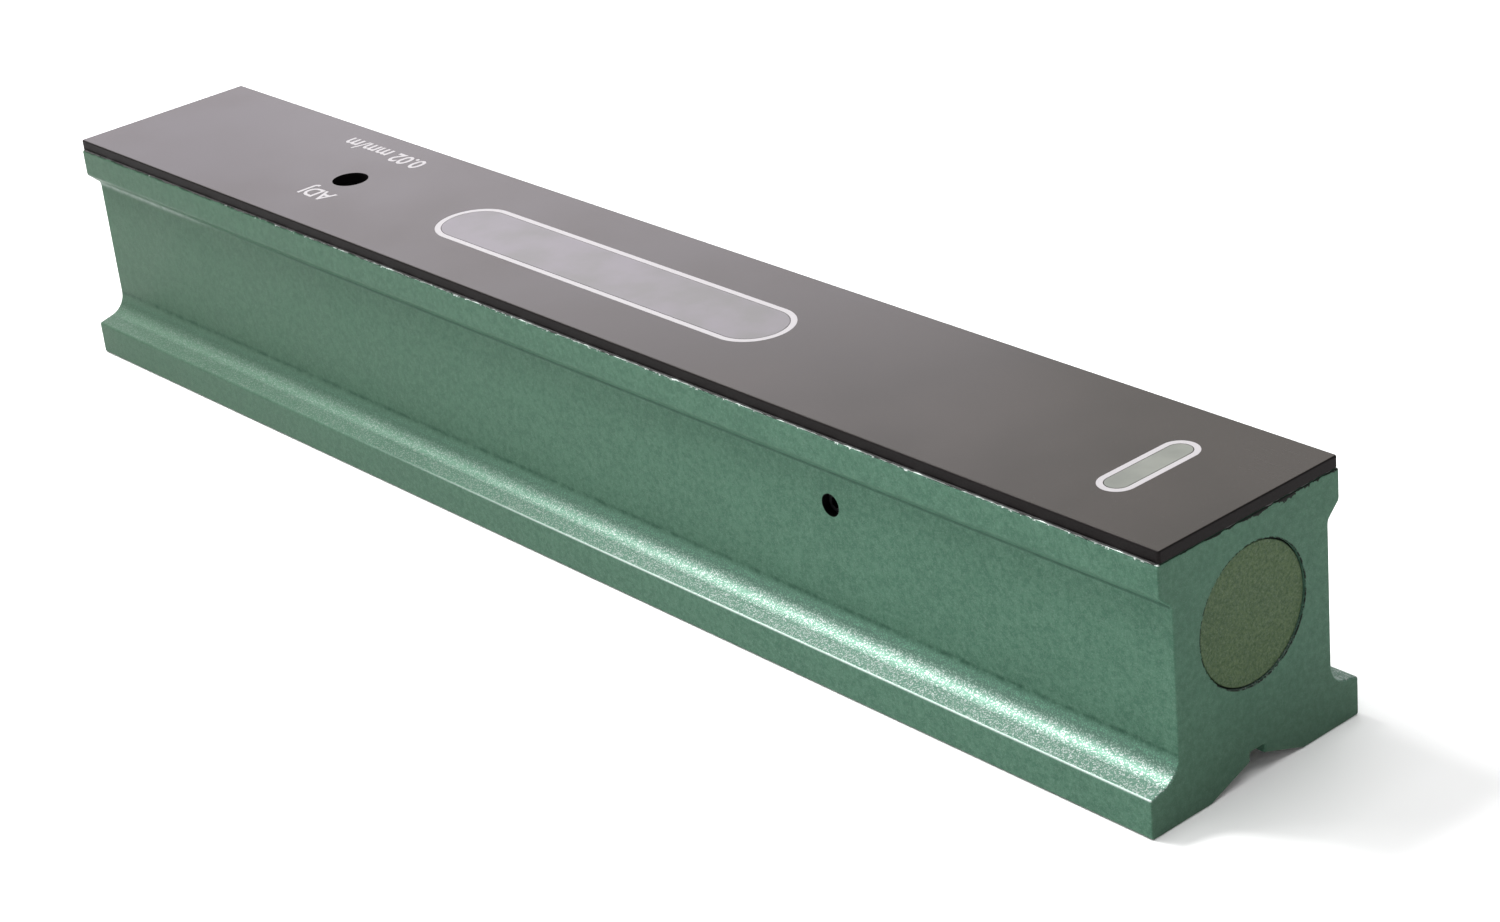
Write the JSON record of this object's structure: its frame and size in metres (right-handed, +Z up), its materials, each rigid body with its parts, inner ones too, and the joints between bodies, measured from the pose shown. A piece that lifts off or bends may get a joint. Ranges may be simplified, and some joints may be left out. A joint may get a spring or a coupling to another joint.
{
  "type": "precision machinist level",
  "caption": "Long cast bar level with a vee base, a sensitive main vial under a window in its black cover, a cross vial at one end and an adjusting screw.",
  "frame": {"origin": "centre of the base, on the surface that the level stands on", "axes": "+X along the bar towards the cross vial, +Y to the back, +Z up"},
  "size_m": [0.3, 0.048, 0.047],
  "materials": {
    "green_paint": "satin",
    "green_paint_plug": "satin",
    "black_cover": "satin",
    "black_bond": "matte",
    "clear_lens": "gloss",
    "nickel_tube": "satin",
    "turned_brass": "satin",
    "brass_screws": "satin",
    "black_oxide_steel": "satin",
    "spring_steel": "satin",
    "vial_glass": "gloss",
    "spirit": "gloss",
    "bubble_air": "gloss",
    "plaster": "matte",
    "white_paper": "matte"
  },
  "bodies": {
    "base": {"body": "green_paint", "end_plug_left": "green_paint_plug", "end_plug_right": "green_paint_plug", "cover_plate": "black_cover", "cover_bond": "black_bond", "main_window": "clear_lens", "cross_window": "clear_lens", "pivot_screw_front": "black_oxide_steel", "pivot_screw_back": "black_oxide_steel", "adjusting_spring": "spring_steel", "cross_holder": "turned_brass", "cross_holder_screws": "brass_screws", "cross_bedding": "plaster", "cross_vial": "vial_glass", "cross_spirit": "spirit"},
    "vial_unit": {"vial_tube": "nickel_tube", "pivot_block": "turned_brass", "adjusting_block": "turned_brass", "main_vial": "vial_glass", "main_spirit": "spirit", "vial_seat_left": "plaster", "vial_seat_right": "plaster", "backing_strip": "white_paper"},
    "zero_screw": {"adjusting_screw": "black_oxide_steel"},
    "long_bubble": {"main_bubble": "bubble_air"},
    "short_bubble": {"cross_bubble": "bubble_air"}
  },
  "joints": [
    {"name": "adjusting_screw_turn", "type": "hinge", "parent": "base", "child": "zero_screw", "pos_m": [-0.0805, 0, 0.0428], "axis": [0, 0, 1], "range_deg": [-360, 360]},
    {"name": "vial_tilt", "type": "hinge", "parent": "base", "child": "vial_unit", "pos_m": [0.076, 0, 0.0306], "axis": [0, 1, 0], "range_deg": [-0.18, 0.18], "deforming": ["adjusting_spring"]},
    {"name": "main_bubble_run", "type": "slide", "parent": "vial_unit", "child": "long_bubble", "axis": [1, 0, 0], "range_m": [-0.0345, 0.0345], "stiffness_N_per_m": 0.5},
    {"name": "cross_bubble_run", "type": "slide", "parent": "base", "child": "short_bubble", "axis": [0, 1, 0], "range_m": [-0.0054, 0.0054], "stiffness_N_per_m": 0.2}
  ],
  "couplings": [
    {"joint": "adjusting_screw_turn", "follows": "vial_tilt", "ratio": -1966.6}
  ]
}
